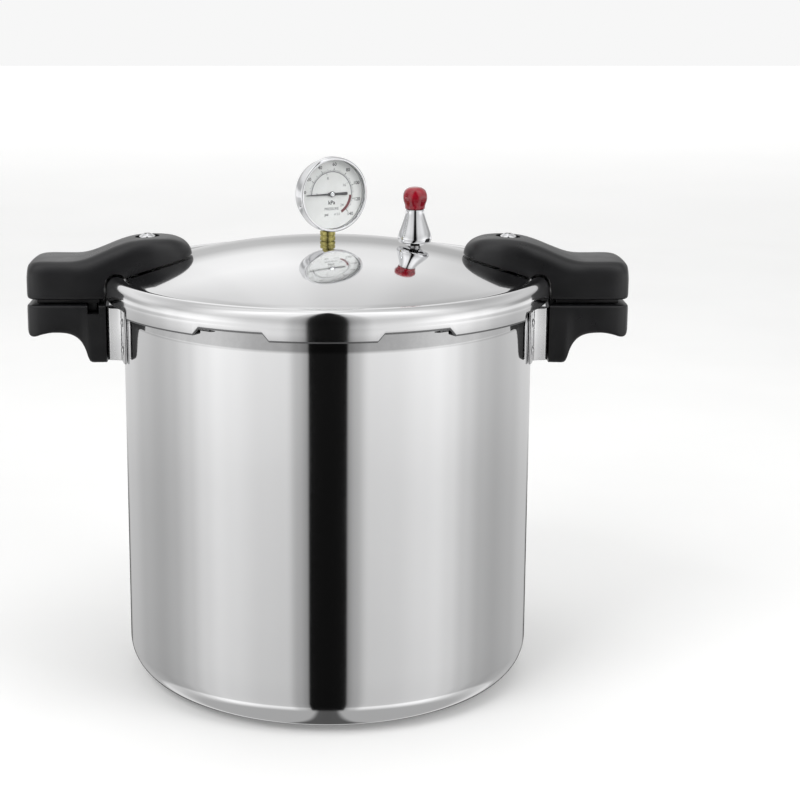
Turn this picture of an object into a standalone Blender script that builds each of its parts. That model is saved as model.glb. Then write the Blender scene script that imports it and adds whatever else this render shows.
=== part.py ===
"""Pressure canner: deep aluminium pot, bayonet lid, dial gauge and weighted regulator.

Frame: metres, +Z up, origin at the centre of the pot's base, where it stands.
The handles lie along X, the front faces -Y. Dimensions below are in millimetres.
"""
import math

import bmesh
import bpy
from mathutils import Matrix, Vector

MM = 0.001
GAP = 0.3                       # air left between neighbouring pieces

# --- pot ---------------------------------------------------------------
POT_R = 162.0                   # outside radius, a 32 cm pot
WALL = 2.5
FLOOR = 4.0
CORNER_R = 26.0                 # outside radius between wall and base
RIM_Z = 309.0                   # top of the rim flange
FLANGE_Z = 305.2                # underside of the rim flange
TAB_R = 172.5                   # outside radius of the bayonet tabs
NECK_R = 165.6                  # flange radius between the tabs
NECK_Z, NECK_IN = 292.0, 1.0    # from here up the wall narrows slightly
TAB_PITCH = 45.0                # eight tabs
TAB_HALF = 8.25                 # half angle of one tab
PHASE = -1.0                    # the bayonet pattern's small turn from the handles' axis
TURNED = 64                     # facets round the pot and lid

# --- lid ---------------------------------------------------------------
LID_T = 3.0
APEX_Z = 347.8                  # top of the dome
CREASE_R, CREASE_Z = 159.5, 322.0
SKIRT_R = 176.4
SKIRT_Z = 301.5                 # lower edge of the skirt and its lugs
NOTCH_Z = 307.1                 # top of the gaps between the lugs
NOTCH_HALF_LOW, NOTCH_HALF_TOP = 30.4, 25.4
LUG_R = 166.5                   # how far the lugs reach in under the tabs
LUG_TOP = 304.6

# --- fittings on the lid -------------------------------------------------
GAUGE_Z = 385.5                 # height of the dial's centre
GAUGE_TURN = 28.0               # the dial faces this far to the right of the front
REG_X = 69.0                    # regulator and vent pipe
PLUG_XY = (-122.0, 66.0)        # overpressure plug, behind the left handle
LID_SCREW_X = 143.0

# --- pot handles ---------------------------------------------------------
BRACKET_Z = (257.0, 299.0)
BRACKET_X = 173.2
BRACKET_HALF = 29.0
FLANGE_HALF_ANGLE = 16.0
RIVET_ANGLE = 13.4
RIVET_Z = (267.0, 289.0)
HANDLE_X = 173.6                # inner face of the grips
POT_SCREW_Y, POT_SCREW_Z = 14.0, 263.0

# grip stations: distance from the axis, half width, underside, top
POT_GRIP = [(173.6, 31.5, 255.5, 301.3), (185.6, 31.5, 255.5, 301.3), (187.6, 31.5, 257.6, 301.3),
            (189.0, 31.5, 263.5, 301.3), (192.0, 31.5, 269.8, 301.3), (197.0, 31.6, 275.2, 301.3),
            (205.0, 31.8, 278.3, 301.3), (216.0, 32.0, 279.0, 301.3), (224.0, 31.6, 277.6, 301.3),
            (229.5, 30.2, 276.0, 301.2), (233.0, 27.8, 276.4, 300.8), (235.4, 24.4, 279.0, 299.4),
            (236.4, 19.0, 284.0, 296.0)]
LID_GRIP = [(236.4, 19.0, 312.0, 327.0), (235.6, 24.2, 308.4, 331.0), (233.4, 27.8, 306.2, 333.8),
            (229.5, 30.4, 305.5, 335.0), (222.0, 31.8, 305.5, 335.5), (205.0, 32.0, 305.5, 335.5),
            (196.0, 32.0, 305.5, 335.8), (188.0, 31.8, 305.5, 337.8), (178.0, 31.2, 305.5, 342.0),
            (167.0, 30.2, 305.5, 346.6), (156.0, 28.8, 305.5, 350.2), (145.0, 27.5, 305.5, 351.6),
            (134.0, 25.6, 305.5, 352.0), (124.0, 22.6, 305.5, 351.4), (116.5, 18.2, 305.5, 349.0),
            (111.6, 13.0, 305.5, 345.4), (108.9, 7.6, 305.5, 341.6), (108.0, 3.4, 305.5, 338.8)]

# stop tab under the left lid grip, running in a slot of the pot grip (polar, degrees)
STOP_R = (182.4, 189.6)
STOP_ANGLE = (183.6, 186.8)
STOP_Z = 295.3
SLOT_Z = 294.4

# --- gauge movement ------------------------------------------------------
PINION_TEETH, SECTOR_TEETH = 10, 60
TOOTH_MODULE = 0.4
SECTOR_ARC = (44.0, 98.0)       # toothed arc, degrees about the sector's pivot


def clear_scene():
    for ob in list(bpy.data.objects):
        bpy.data.objects.remove(ob, do_unlink=True)


def collection(name):
    col = bpy.data.collections.new(name)
    bpy.context.scene.collection.children.link(col)
    return col


clear_scene()
PARTS = collection("pressure_canner")
CUTTERS = collection("cutters")


def material(name, colour, roughness, metallic):
    mat = bpy.data.materials.new(name)
    mat.use_nodes = True
    bsdf = mat.node_tree.nodes["Principled BSDF"]
    bsdf.inputs["Base Color"].default_value = (*colour, 1.0)
    bsdf.inputs["Roughness"].default_value = roughness
    bsdf.inputs["Metallic"].default_value = metallic
    return mat


ALUMINIUM = material("polished_aluminium", (0.86, 0.86, 0.87), 0.14, 1.0)
CAST = material("cast_aluminium", (0.72, 0.72, 0.73), 0.3, 1.0)
CHROME = material("chrome", (0.85, 0.86, 0.88), 0.06, 1.0)
STEEL = material("steel", (0.62, 0.62, 0.63), 0.3, 1.0)
BRASS = material("brass", (0.55, 0.48, 0.22), 0.28, 1.0)
PHENOLIC = material("black_phenolic", (0.02, 0.02, 0.022), 0.34, 0.0)
RUBBER = material("rubber", (0.03, 0.03, 0.03), 0.7, 0.0)
SILICONE = material("silicone", (0.62, 0.6, 0.56), 0.55, 0.0)
RED = material("red_knob", (0.42, 0.01, 0.03), 0.12, 0.0)
WHITE = material("dial_white", (0.86, 0.86, 0.85), 0.45, 0.0)
BLACK = material("pointer_black", (0.015, 0.015, 0.015), 0.4, 0.0)
GLASS = material("lens", (0.9, 0.95, 0.96), 0.03, 0.0)


# --- building blocks -------------------------------------------------------
def place(name, mesh, mat, cutter=False):
    """Link a mesh as a part, or as a hidden cutter."""
    ob = bpy.data.objects.new(name, mesh)
    (CUTTERS if cutter else PARTS).objects.link(ob)
    if cutter:
        ob.hide_render = True
        ob.display_type = "WIRE"
    elif mat:
        mesh.materials.append(mat)
        mesh.shade_smooth()
        mesh.set_sharp_from_angle(angle=math.radians(35))
    return ob


def turned(name, profile, mat=None, facets=TURNED, closed=False, matrix=None, cutter=False):
    """Turn a profile of (radius, height) about Z; it runs down the outside."""
    mesh = bpy.data.meshes.new(name)
    points = [(r * MM, 0.0, z * MM) for r, z in profile]
    edges = [(i, i + 1) for i in range(len(points) - 1)]
    if closed:
        edges.append((len(points) - 1, 0))
    mesh.from_pydata(points, edges, [])
    ob = place(name, mesh, mat, cutter)
    screw = ob.modifiers.new("turn", "SCREW")
    screw.steps = screw.render_steps = facets
    screw.use_merge_vertices = True
    screw.merge_threshold = 0.00002
    screw.use_smooth_shade = True
    if matrix is not None:
        ob.matrix_world = matrix
    return ob


def slab(name, outlines, low, high, mat=None, matrix=None, cutter=False):
    """Flat outlines in XY, made solid between two heights."""
    curve = bpy.data.curves.new(name, "CURVE")
    curve.dimensions = "2D"
    curve.fill_mode = "BOTH"
    curve.extrude = (high - low) / 2 * MM
    for outline in outlines:
        spline = curve.splines.new("POLY")
        spline.points.add(len(outline) - 1)
        for point, (x, y) in zip(spline.points, outline):
            point.co = (x * MM, y * MM, 0.0, 1.0)
        spline.use_cyclic_u = True
    return as_mesh(name, curve, mat, Matrix.Translation((0, 0, (high + low) / 2 * MM)), matrix, cutter)


def as_mesh(name, curve, mat, shift=None, matrix=None, cutter=False):
    """Turn a curve into a closed mesh object."""
    guide = bpy.data.objects.new(name + "_curve", curve)
    CUTTERS.objects.link(guide)
    graph = bpy.context.evaluated_depsgraph_get()
    mesh = bpy.data.meshes.new_from_object(guide.evaluated_get(graph))
    bpy.data.objects.remove(guide, do_unlink=True)
    mesh.materials.clear()
    bm = bmesh.new()
    bm.from_mesh(mesh)
    bmesh.ops.remove_doubles(bm, verts=bm.verts, dist=0.000002)
    if shift is not None:
        bmesh.ops.transform(bm, matrix=shift, verts=bm.verts)
    bmesh.ops.recalc_face_normals(bm, faces=bm.faces)
    bm.to_mesh(mesh)
    bm.free()
    ob = place(name, mesh, mat, cutter)
    if matrix is not None:
        ob.matrix_world = matrix
    return ob


def rods(name, rows, facets, mat=None, cutter=True):
    """Closed cylinders in one mesh; each row is a matrix, a radius, and two ends on its Z."""
    bm = bmesh.new()
    for matrix, radius, low, high in rows:
        mid = Matrix.Translation((0, 0, (low + high) / 2 * MM))
        bmesh.ops.create_cone(bm, cap_ends=True, segments=facets, radius1=radius * MM,
                              radius2=radius * MM, depth=(high - low) * MM, matrix=matrix @ mid)
    mesh = bpy.data.meshes.new(name)
    bm.to_mesh(mesh)
    bm.free()
    return place(name, mesh, mat, cutter)


def boolean(ob, other, operation="DIFFERENCE"):
    mod = ob.modifiers.new(operation.lower(), "BOOLEAN")
    mod.operation = operation
    mod.solver = "EXACT"
    mod.object = other


def arc(cx, cy, radius, start, end, steps):
    """Points on an arc, angles in degrees."""
    return [(cx + radius * math.cos(math.radians(start + (end - start) * i / steps)),
             cy + radius * math.sin(math.radians(start + (end - start) * i / steps)))
            for i in range(steps + 1)]


def sector(r0, r1, a0, a1, steps=4):
    """Outline of a piece of a ring."""
    return arc(0, 0, r1, a0, a1, steps) + arc(0, 0, r0, a1, a0, steps)


def hexagon(across):
    return arc(0, 0, across / math.sqrt(3), 0, 300, 5)


def frame_at(x, y, z, direction=(0, 0, 1)):
    """A matrix at a point in millimetres whose Z runs along a direction."""
    turn = Vector(direction).to_track_quat("Z", "Y").to_matrix().to_4x4()
    return Matrix.Translation((x * MM, y * MM, z * MM)) @ turn


def grip(name, stations, side, mat, power, around=20):
    """Loft rounded sections along X, from the grip's stations; side is 1 or -1."""
    bm = bmesh.new()
    rings = []
    for x, half, low, high in stations:
        ring = []
        for i in range(around):
            a = 2 * math.pi * (i + 0.5) / around
            c, s = math.cos(a), math.sin(a)
            y = half * math.copysign(abs(c) ** (2 / power), c)
            z = (low + high) / 2 + (high - low) / 2 * math.copysign(abs(s) ** (2 / power), s)
            ring.append(bm.verts.new((side * x * MM, y * MM, z * MM)))
        rings.append(ring)
    for a, b in zip(rings, rings[1:]):
        for i in range(around):
            j = (i + 1) % around
            bm.faces.new((a[i], a[j], b[j], b[i]))
    bm.faces.new(rings[0])
    bm.faces.new(rings[-1])
    bmesh.ops.recalc_face_normals(bm, faces=bm.faces)
    mesh = bpy.data.meshes.new(name)
    bm.to_mesh(mesh)
    bm.free()
    return place(name, mesh, mat)


# --- shared geometry -------------------------------------------------------
DOME_RHO = (CREASE_R ** 2 + (APEX_Z - CREASE_Z) ** 2) / (2 * (APEX_Z - CREASE_Z))


def dome_z(r):
    return APEX_Z - DOME_RHO + math.sqrt(DOME_RHO ** 2 - r ** 2)


def dome_normal(x, y):
    return Vector((x, y, dome_z(math.hypot(x, y)) - (APEX_Z - DOME_RHO))).normalized()


def dome_points(lift, steps=5, radius=156.0):
    """Points from the axis out along the dome, moved up by lift."""
    radii = [radius * i / steps for i in range(steps + 1)]
    return [(r, dome_z(r) + lift) for r in radii]


def lid_outside(gap=0.0):
    """The lid's upper outline from its axis out and down the skirt, moved out by a gap."""
    shoulder = [(CREASE_R, CREASE_Z), (163.4, 323.6), (167.6, 324.7), (171.4, 323.6),
                (174.6, 320.4), (SKIRT_R, 314.0)]
    pushed = [(r + gap * max(0.0, (r - 165.0) / (SKIRT_R - 165.0)), z + gap) for r, z in shoulder]
    return dome_points(gap) + pushed


def lid_envelope(name, gap):
    """Cutter in the lid's shape, larger by a gap, closed below."""
    outline = lid_outside(gap) + [(SKIRT_R + gap, 290.0), (0.0, 290.0)]
    return turned(name, outline, matrix=Matrix.Rotation(math.radians(1.3), 4, "Z"), cutter=True)


# --- pot -------------------------------------------------------------------
def pot_body():
    inner_r = POT_R - WALL
    inner_corner = CORNER_R - FLOOR
    inside = [(0.0, FLOOR)] + [(r, z) for r, z in arc(inner_r - inner_corner, CORNER_R,
                                                     inner_corner, -90, 0, 4)]
    rim = [(inner_r, RIM_Z), (TAB_R - 0.8, RIM_Z), (TAB_R, RIM_Z - 0.8),
           (TAB_R, FLANGE_Z), (POT_R - NECK_IN, FLANGE_Z), (POT_R, NECK_Z)]
    outside = arc(POT_R - CORNER_R, CORNER_R, CORNER_R, 0, -90, 5)
    pot = turned("pot_body", inside + rim + outside + [(0.0, 0.0)], ALUMINIUM)
    gaps = []
    for k in range(8):
        centre = -90 + PHASE + TAB_PITCH * (k + 0.5)
        half = TAB_PITCH / 2 - TAB_HALF
        gaps.append(sector(NECK_R, TAB_R + 4, centre - half, centre + half, 6))
    boolean(pot, slab("cut_rim_gaps", gaps, FLANGE_Z - 4, RIM_Z + 3, cutter=True))
    boolean(pot, rods("cut_pot_rivet_holes", rivet_rows(2.3, 150, 170), 12))
    return pot


def rivet_frames():
    """Name and radial frame of each bracket rivet, on the pot's axis at its height."""
    for side, tag in ((1, "R"), (-1, "L")):
        number = 0
        for z in RIVET_Z:
            for angle in (-RIVET_ANGLE, RIVET_ANGLE):
                number += 1
                a = math.radians(angle if side > 0 else 180 + angle)
                yield "%s%d" % (tag, number), frame_at(0, 0, z, (math.cos(a), math.sin(a), 0))


def rivet_rows(radius, low, high):
    return [(frame, radius, low, high) for _, frame in rivet_frames()]


def bracket_rivets():
    inside, outside = POT_R - WALL - GAP, POT_R + 2.5 + GAP
    for tag, frame in rivet_frames():
        profile = [(0, outside + 1.1), (2.4, outside + 0.9), (3.6, outside + 0.1), (3.6, outside),
                   (2.0, outside), (2.0, inside), (3.6, inside), (3.6, inside - 0.4),
                   (2.4, inside - 1.3), (0, inside - 1.5)]
        turned("bracket_rivet_" + tag, profile, CAST, 8, matrix=frame)


def pot_bracket(side, tag):
    """Cast block between pot and grip, with a wing along the wall on each side."""
    inner, wing = POT_R + GAP, POT_R + 2.5
    root = math.degrees(math.asin((BRACKET_HALF + 2) / wing))
    half = [(BRACKET_X, BRACKET_HALF - 2.5), (BRACKET_X - 0.8, BRACKET_HALF - 0.8),
            (BRACKET_X - 2.5, BRACKET_HALF), (163.6, BRACKET_HALF + 0.4)]
    wings = arc(0, 0, wing, root, FLANGE_HALF_ANGLE, 2)
    upper = half + wings + arc(0, 0, inner, FLANGE_HALF_ANGLE, 0, 5)[:-1]
    outline = upper + [(inner, 0.0)] + [(x, -y) for x, y in reversed(upper)]
    outline = [(side * x, y) for x, y in outline]
    block = slab("pot_bracket_" + tag, [outline], *BRACKET_Z, CAST)
    boolean(block, rods("cut_bracket_rivets_" + tag,
                        [row for row, name in zip(rivet_rows(2.3, 160, 170), rivet_frames())
                         if name[0][0] == tag], 12))
    holes = [(frame_at(0, y, POT_SCREW_Z, (side, 0, 0)), 2.9, 164.6, 180)
             for y in (-POT_SCREW_Y, POT_SCREW_Y)]
    boolean(block, rods("cut_bracket_screws_" + tag, holes, 12))


def pot_grip(side, tag):
    handle = grip("pot_handle_" + tag, POT_GRIP, side, PHENOLIC, 6.0)
    rows = []
    for y in (-POT_SCREW_Y, POT_SCREW_Y):
        frame = frame_at(0, y, POT_SCREW_Z, (side, 0, 0))
        rows += [(frame, 5.2, 183.0, 205.0)]
    boolean(handle, rods("cut_grip_heads_" + tag, rows, 16))
    rows = [(frame_at(0, y, POT_SCREW_Z, (side, 0, 0)), 2.9, 165, 190)
            for y in (-POT_SCREW_Y, POT_SCREW_Y)]
    boolean(handle, rods("cut_grip_screws_" + tag, rows, 12))
    if side < 0:
        slot = sector(STOP_R[0] - 0.8, STOP_R[1] + 0.8, STOP_ANGLE[0] - 0.4, 194.0, 5)
        boolean(handle, slab("cut_stop_slot", [slot], SLOT_Z, 310, cutter=True))
    profile = [(0, 187.2), (3.0, 187.0), (4.4, 186.0), (4.6, 184.8), (4.6, 183.3), (2.5, 183.3),
               (2.5, 165.4), (0, 165.4)]
    for number, y in enumerate((-POT_SCREW_Y, POT_SCREW_Y), 1):
        turned("pot_handle_screw_%s%d" % (tag, number), profile, STEEL, 12,
               matrix=frame_at(0, y, POT_SCREW_Z, (side, 0, 0)))


def canning_rack():
    """Perforated disc on a turned-down rim, lying on the pot's floor."""
    top, radius = 16.0, 137.0
    low = FLOOR + GAP
    profile = [(0, top), (radius - 2, top), (radius, top - 2), (radius, low),
               (radius - 1.6, low), (radius - 1.6, top - 2.4), (radius - 3, top - 1.6),
               (0, top - 1.6)]
    rack = turned("canning_rack", profile, ALUMINIUM, 48)
    rows = [(Matrix(), 8.0, 5, 25)]
    for count, ring in ((6, 50.0), (8, 98.0)):
        for i in range(count):
            a = 2 * math.pi * i / count
            rows.append((frame_at(ring * math.cos(a), ring * math.sin(a), 0), 6.0, 5, 25))
    boolean(rack, rods("cut_rack_holes", rows, 8))


# --- lid -------------------------------------------------------------------
def lid():
    inner_r = SKIRT_R - 2.5
    skirt = [(SKIRT_R, SKIRT_Z + 0.8), (SKIRT_R - 0.8, SKIRT_Z), (LUG_R, SKIRT_Z),
             (LUG_R, LUG_TOP), (inner_r, LUG_TOP)]
    under = [(inner_r, 313.0), (inner_r - 1.4, 317.4), (170.4, 320.2),
             (163.8, 320.6), (CREASE_R, CREASE_Z - LID_T)]
    dome = list(reversed(dome_points(-LID_T, 4)))
    body = turned("lid", lid_outside() + skirt + under + dome, ALUMINIUM)
    for k in range(8):
        centre = math.radians(-90 + PHASE + TAB_PITCH * (k + 0.5))
        out = Vector((math.cos(centre), math.sin(centre), 0))
        tilt = Matrix((( -out.y, 0, out.x, 0), (out.x, 0, out.y, 0), (0, 1, 0, 0), (0, 0, 0, 1)))
        low = NOTCH_HALF_LOW + 0.9
        notch = [(-low, SKIRT_Z - 1), (low, SKIRT_Z - 1), (NOTCH_HALF_TOP, NOTCH_Z),
                 (-NOTCH_HALF_TOP, NOTCH_Z)]
        boolean(body, slab("cut_skirt_notch_%d" % k, [notch], 162, 182, matrix=tilt, cutter=True))
    holes = [(frame_at(0, 0, 0), 5.1, 330, 350), (frame_at(REG_X, 0, 0), 5.2, 325, 350),
             (plug_frame(), 4.1, -8, 6)]
    boolean(body, rods("cut_lid_holes", holes, 16))


def plug_frame():
    x, y = PLUG_XY
    return frame_at(x, y, dome_z(math.hypot(x, y)), dome_normal(x, y))


def gasket():
    """Sealing ring between the pot's rim and the lid's shoulder."""
    low = RIM_Z + GAP
    profile = [(162.2, 319.6), (170.6, 318.9), (171.7, 316.5), (171.7, low), (161.0, low),
               (161.0, 318.4)]
    turned("gasket", profile, SILICONE, closed=True)


def overpressure_plug():
    profile = [(0, 3.6), (4.5, 3.2), (6.4, 1.8), (6.6, 0.5), (3.6, 0.5), (3.6, -3.5), (5.2, -3.6),
               (4.6, -5.6), (0, -6.2)]
    turned("overpressure_plug", profile, RUBBER, 20, matrix=plug_frame())


def lid_grip(side, tag, envelope):
    handle = grip("lid_handle_" + tag, LID_GRIP, side, PHENOLIC, 5.0)
    boolean(handle, envelope)
    at = frame_at(side * LID_SCREW_X, 0, 0)
    bore = [(0, 365), (9.8, 365), (9.8, 349.2), (3.3, 349.2), (3.3, 334.4), (9.4, 334.4),
            (9.4, 300), (0, 300)]
    boolean(handle, turned("cut_grip_bore_" + tag, bore, facets=20, matrix=at, cutter=True))
    tongue = [(side * x, y) for x, y in ((179, -25), (228, -25), (228, 25), (179, 25))]
    boolean(handle, slab("grip_tongue_" + tag, [tongue], 302.1, 312, cutter=True), "UNION")
    if side < 0:
        tab = sector(*STOP_R, *STOP_ANGLE, 3)
        boolean(handle, slab("stop_tab", [tab], STOP_Z, 313.7, cutter=True), "UNION")


def lid_boss(side, tag, envelope):
    """Threaded boss on the dome that takes the grip's screw."""
    at = frame_at(side * LID_SCREW_X, 0, 0)
    profile = [(3.1, 334.0), (8.0, 334.0), (9.0, 333.0), (9.0, 318.0), (3.1, 318.0)]
    boss = turned("lid_boss_" + tag, profile, CAST, 20, closed=True, matrix=at)
    boolean(boss, envelope)


def lid_screw(side, tag):
    head = [(0, 353.8), (3.4, 353.5), (5.7, 352.4), (6.6, 350.8), (6.6, 349.5)]
    shank = [(2.8, 349.5), (2.8, 328.8), (0, 328.8)]
    turned("lid_handle_screw_" + tag, head + shank, CHROME, 20,
           matrix=frame_at(side * LID_SCREW_X, 0, 0))


# --- vent and regulator ------------------------------------------------------
def vent():
    at = frame_at(REG_X, 0, 0)
    pipe = [(1.6, 358.0), (2.6, 358.0), (3.6, 356.0), (3.6, 348.4), (4.9, 348.4), (4.9, 338.4),
            (8.5, 338.4), (8.5, 335.8), (5.5, 335.8), (5.5, 329.8), (1.6, 329.8)]
    turned("vent_pipe", pipe, STEEL, 16, closed=True, matrix=at)
    nut = slab("vent_nut", [hexagon(12.5)], 344.3, 347.9, CHROME, matrix=at)
    boolean(nut, rods("cut_vent_nut", [(at, 5.2, 335, 355)], 20))


def regulator():
    at = frame_at(REG_X, 0, 0)
    outside = [(2.0, 373.0), (6.6, 373.0), (7.3, 372.2), (8.2, 367.6), (10.4, 361.2), (12.2, 355.6),
               (13.4, 350.8), (13.3, 348.4), (12.2, 346.8)]
    inside = [(9.0, 346.8), (9.0, 352.0), (4.2, 354.0), (4.2, 358.8), (2.0, 360.6)]
    turned("regulator_weight", outside + inside, CHROME, 24, closed=True, matrix=at)
    knob = [(0, 390.6), (4.0, 390.2), (7.4, 388.4), (9.5, 385.2), (9.9, 382.0), (9.3, 378.6),
            (8.2, 375.6), (7.8, 373.3), (0, 373.3)]
    turned("regulator_knob", knob, RED, 20, matrix=at)


# --- gauge -------------------------------------------------------------------
def gauge_frame():
    a = math.radians(GAUGE_TURN)
    front = Vector((math.sin(a), -math.cos(a), 0))
    right = Vector((math.cos(a), math.sin(a), 0))
    return Matrix(((right.x, 0, front.x, 0), (right.y, 0, front.y, 0),
                   (0, 1, 0, GAUGE_Z * MM), (0, 0, 0, 1)))


def gauge_housing(at):
    case = [(0, -10.5), (16.5, -10.5), (21.0, -8.6), (24.2, -5.0), (26.4, 0.3), (27.3, 4.6),
            (27.3, 8.6), (28.0, 8.6), (28.1, 5.0), (27.6, 0.0), (25.5, -6.0), (22.0, -10.0),
            (17.0, -12.0), (0, -12.0)]
    body = turned("gauge_case", case, CHROME, 28, matrix=at)
    boolean(body, rods("cut_case_socket", [(frame_at(0, 0, 0), 4.7, 350, 368)], 20))
    bezel = [(27.2, 12.0), (28.7, 12.0), (29.5, 11.2), (29.5, 4.6), (28.4, 4.6), (28.4, 10.9),
             (27.2, 10.9)]
    turned("gauge_bezel", bezel, CHROME, 32, closed=True, matrix=at)
    turned("gauge_lens", [(0, 10.6), (28.1, 10.6), (28.1, 9.0), (0, 9.0)], GLASS, 28, matrix=at)
    dial = [(1.5, 6.0), (27.0, 6.0), (27.0, 5.2), (1.5, 5.2)]
    turned("gauge_dial", dial, WHITE, 28, closed=True, matrix=at)


def gauge_stem():
    """Brass socket through the lid, with its seal and nut below."""
    profile = [(0, 362.7), (4.3, 362.7), (4.3, 355.6), (6.1, 355.6), (6.1, 352.6), (5.7, 352.1),
               (5.7, 351.5), (6.1, 351.0), (6.1, 348.2), (4.8, 348.2), (4.8, 333.8), (0, 333.8)]
    turned("gauge_stem", profile, BRASS, 16)
    turned("gauge_washer", [(5.1, 344.4), (9.5, 344.3), (9.5, 343.2), (5.1, 343.2)], RUBBER, 20,
           closed=True)
    nut = slab("gauge_nut", [hexagon(17.0)], 337.2, 342.9, BRASS)
    boolean(nut, rods("cut_gauge_nut", [(Matrix(), 5.1, 330, 350)], 20))


def bourdon_tube(at):
    """C-shaped pressure tube round the movement."""
    curve = bpy.data.curves.new("bourdon_tube", "CURVE")
    curve.dimensions = "3D"
    curve.bevel_depth = 1.5 * MM
    curve.bevel_resolution = 1
    curve.use_fill_caps = True
    points = arc(0, 0, 20.8, -90, 165, 18)
    spline = curve.splines.new("POLY")
    spline.points.add(len(points) - 1)
    for point, (x, y) in zip(spline.points, points):
        point.co = (x * MM, y * MM, -0.8 * MM, 1.0)
    as_mesh("bourdon_tube", curve, BRASS, matrix=at)


def gear_outline(teeth, first, count, root, tip, half_root, half_tip):
    """Slim teeth outward from a root circle, as points for part of a gear."""
    points = []
    for k in range(count):
        a = math.radians(first + 360.0 / teeth * k)
        for radius, across in ((root, -half_root), (tip, -half_tip), (tip, half_tip), (root, half_root)):
            points.append((radius * math.cos(a) - across * math.sin(a),
                           radius * math.sin(a) + across * math.cos(a)))
    return points


def gauge_movement(at):
    distance = (PINION_TEETH + SECTOR_TEETH) * TOOTH_MODULE / 2
    pinion_r = PINION_TEETH * TOOTH_MODULE / 2
    sector_r = distance - pinion_r
    plate = slab("movement_plate", [[(-7, -22.4), (7, -22.4), (7, 7), (-7, 7)]], -4.2, -3.0, BRASS,
                 matrix=at)
    pivots = [(at, 1.1, -8, 0), (at @ Matrix.Translation((0, -distance * MM, 0)), 1.1, -8, 0)]
    boolean(plate, rods("cut_movement_pivots", pivots, 12))

    teeth = gear_outline(PINION_TEETH, -90 + 180 / PINION_TEETH, PINION_TEETH, pinion_r - 0.55,
                         pinion_r + 0.3, 0.28, 0.1)
    shaft = slab("pinion_shaft", [teeth], -1.0, 1.0, STEEL, matrix=at)
    boolean(shaft, rods("join_pinion_shaft", [(at, 0.8, -5.0, 8.4)], 12), "UNION")

    pitch = 360.0 / SECTOR_TEETH
    first = 90 + pitch * math.ceil((SECTOR_ARC[0] - 90) / pitch)
    count = int((SECTOR_ARC[1] - first) / pitch) + 1
    outline = gear_outline(SECTOR_TEETH, first, count, sector_r - 0.6, sector_r + 0.35, 0.3, 0.1)
    outline += arc(0, 0, 2.6, first + pitch * count + 30, first + 300, 6)
    pivot = at @ Matrix.Translation((0, -distance * MM, 0))
    gear = slab("sector_gear", [outline], -0.9, 0.9, BRASS, matrix=pivot)
    boolean(gear, rods("join_sector_arbor", [(pivot, 0.8, -5.0, 2.5)], 12), "UNION")


def gauge_pointer(at):
    """Hand at rest on the left end of the scale, with its hub and short tail."""
    outline = [(-22.6, -0.25), (-3.0, -0.7), (0, -2.2), (3.0, -1.0), (13.4, -1.15), (13.4, 1.15),
               (3.0, 1.0), (0, 2.2), (-3.0, 0.7), (-22.6, 0.25)]
    hand = slab("gauge_pointer", [outline], 6.7, 7.3, BLACK, matrix=at)
    boolean(hand, rods("cut_pointer_hub", [(at, 1.1, 0, 12)], 12))


# --- assembly ----------------------------------------------------------------
def build():
    pot_body()
    canning_rack()
    bracket_rivets()
    lid()
    gasket()
    overpressure_plug()
    clear_of_lid = lid_envelope("cut_lid_shape_grip", 1.2)
    close_to_lid = lid_envelope("cut_lid_shape_boss", GAP)
    for side, tag in ((1, "R"), (-1, "L")):
        pot_bracket(side, tag)
        pot_grip(side, tag)
        lid_grip(side, tag, clear_of_lid)
        lid_boss(side, tag, close_to_lid)
        lid_screw(side, tag)
    vent()
    regulator()
    gauge_stem()
    at = gauge_frame()
    gauge_housing(at)
    bourdon_tube(at)
    gauge_movement(at)
    gauge_pointer(at)


build()
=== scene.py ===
"""Pressure canner: visible surfaces and studio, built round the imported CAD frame.

Lengths in the tables are millimetres in the CAD's frame: base centre at the origin,
+Z up, handles along X, front towards -Y.
"""
import math

import bmesh
import bpy
from mathutils import Matrix, Vector


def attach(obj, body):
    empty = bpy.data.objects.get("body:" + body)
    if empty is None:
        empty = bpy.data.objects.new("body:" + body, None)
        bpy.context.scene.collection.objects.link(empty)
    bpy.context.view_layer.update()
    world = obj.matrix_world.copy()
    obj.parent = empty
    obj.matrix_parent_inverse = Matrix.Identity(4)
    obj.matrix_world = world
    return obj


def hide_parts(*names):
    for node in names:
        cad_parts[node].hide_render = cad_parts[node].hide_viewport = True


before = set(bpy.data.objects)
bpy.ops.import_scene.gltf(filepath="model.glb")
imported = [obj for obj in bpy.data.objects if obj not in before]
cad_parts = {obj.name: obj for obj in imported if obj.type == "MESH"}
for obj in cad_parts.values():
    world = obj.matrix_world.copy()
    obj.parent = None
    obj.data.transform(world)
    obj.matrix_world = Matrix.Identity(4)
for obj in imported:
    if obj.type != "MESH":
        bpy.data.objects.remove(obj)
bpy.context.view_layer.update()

MM = 0.001

# --- dimensions shared by several pieces -------------------------------------
POT_R, WALL, FLOOR_T, CORNER_R = 162.0, 2.5, 4.0, 26.0
NECK_Z, NECK_IN = 292.0, 1.0
RIM_Z, FLANGE_Z, TAB_R, NECK_R = 309.0, 305.2, 172.5, 165.6
TAB_PITCH, TAB_HALF, PHASE = 45.0, 8.25, -1.0
APEX_Z, CREASE_R, CREASE_Z = 347.8, 159.5, 322.0
SKIRT_R, SKIRT_Z, SKIRT_T = 176.4, 301.5, 2.5
SKIRT_TOP_R, SKIRT_TOP_Z, SKIRT_FLARE = 175.95, 311.5, 0.053
NOTCH_Z, NOTCH_HALF_LOW, NOTCH_HALF_TOP = 307.1, 30.4, 25.4
LUG_R, LUG_TOP = 166.5, 304.6
LID_SCREW_X, REG_X = 143.0, 69.0
GAUGE_Z, GAUGE_TURN = 385.5, 28.0
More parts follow.
